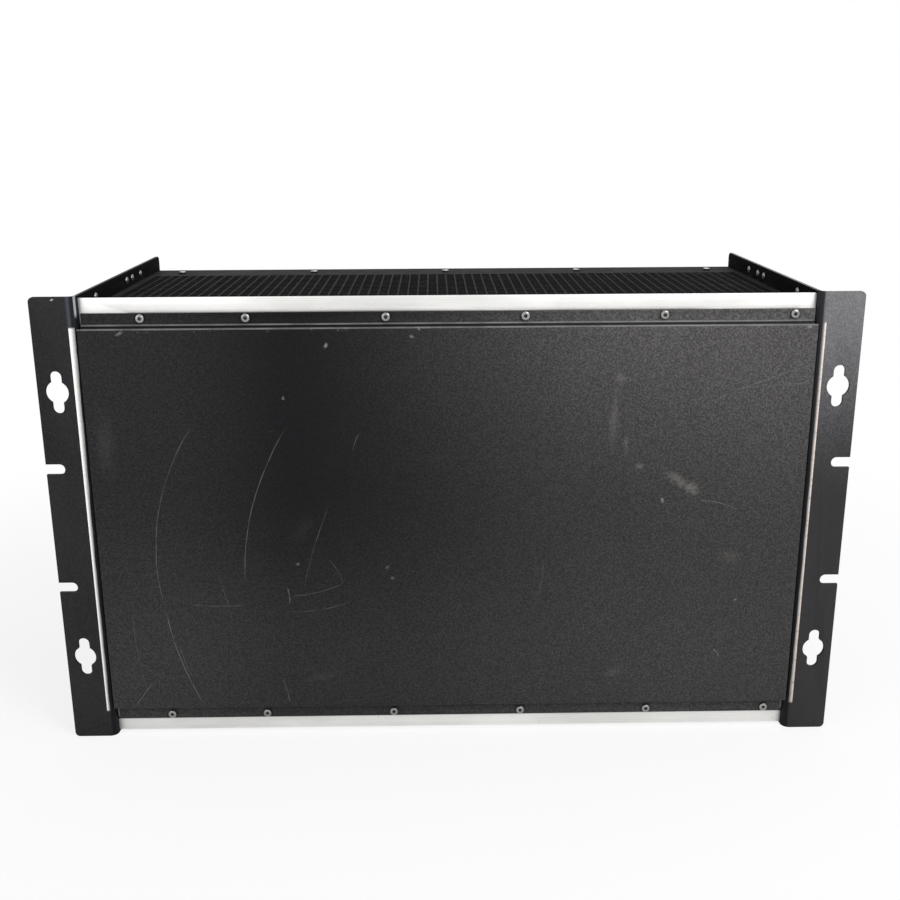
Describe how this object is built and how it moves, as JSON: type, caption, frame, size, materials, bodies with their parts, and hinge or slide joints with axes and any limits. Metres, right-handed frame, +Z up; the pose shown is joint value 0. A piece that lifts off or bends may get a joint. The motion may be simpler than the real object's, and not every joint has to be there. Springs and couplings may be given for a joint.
{
  "type": "subrack card cage",
  "caption": "Rack-width card cage with keyholed rear mounting ears, a closed black rear cover between aluminium rails, perforated vents and open guided module bays.",
  "frame": {"origin": "middle of the base, on the surface the cage stands on", "axes": "+X along the width, to the right when the rear cover is looked at; +Y from the rear cover to the open card side; +Z up"},
  "size_m": [0.4826, 0.206, 0.2826],
  "materials": {
    "black_paint": "fine-textured semi-matt black paint over aluminium, worn bright at the fold beside the cover, with scratches and scuffs",
    "black_cover": "fine-grained semi-matt black paint with long thin scratches and pale scuffs",
    "bare_aluminium": "extruded, lightly dulled",
    "vent_black": "semi-gloss black perforated sheet",
    "zinc_screw": "zinc plated, socket heads",
    "black_screw": "black oxide, socket heads",
    "guide_plastic": "moulded, fine grain",
    "connector_plastic": "moulded, smooth",
    "board": "green solder mask over fibreglass laminate"
  },
  "bodies": {
    "root": {"side_plate_left": "black_paint", "side_plate_right": "black_paint", "rear_cover": "black_cover", "cover_screws": "zinc_screw", "rear_top_rail": "bare_aluminium", "rear_bottom_rail": "bare_aluminium", "backplane_top_rail": "bare_aluminium", "backplane_bottom_rail": "bare_aluminium", "front_top_rail": "bare_aluminium", "front_bottom_rail": "bare_aluminium", "rail_screws_left": "black_screw", "rail_screws_right": "black_screw", "vent_screws": "black_screw", "side_rivets_left": "zinc_screw", "side_rivets_right": "zinc_screw", "backplane_screws": "zinc_screw", "top_vent_panel": "vent_black", "bottom_vent_panel": "vent_black", "backplane": "board", "power_connector": "connector_plastic", "top_power_guides": "guide_plastic", "bottom_power_guides": "guide_plastic", "top_guide_1": "guide_plastic", "bottom_guide_1": "guide_plastic", "upper_connector_1": "connector_plastic", "lower_connector_1": "connector_plastic", "top_guide_2": "guide_plastic", "bottom_guide_2": "guide_plastic", "upper_connector_2": "connector_plastic", "lower_connector_2": "connector_plastic", "top_guide_3": "guide_plastic", "bottom_guide_3": "guide_plastic", "upper_connector_3": "connector_plastic", "lower_connector_3": "connector_plastic", "top_guide_4": "guide_plastic", "bottom_guide_4": "guide_plastic", "upper_connector_4": "connector_plastic", "lower_connector_4": "connector_plastic", "top_guide_5": "guide_plastic", "bottom_guide_5": "guide_plastic", "upper_connector_5": "connector_plastic", "lower_connector_5": "connector_plastic", "top_guide_6": "guide_plastic", "bottom_guide_6": "guide_plastic", "upper_connector_6": "connector_plastic", "lower_connector_6": "connector_plastic", "top_guide_7": "guide_plastic", "bottom_guide_7": "guide_plastic", "upper_connector_7": "connector_plastic", "lower_connector_7": "connector_plastic", "top_guide_8": "guide_plastic", "bottom_guide_8": "guide_plastic", "upper_connector_8": "connector_plastic", "lower_connector_8": "connector_plastic", "top_guide_9": "guide_plastic", "bottom_guide_9": "guide_plastic", "upper_connector_9": "connector_plastic", "lower_connector_9": "connector_plastic"}
  },
  "joints": []
}
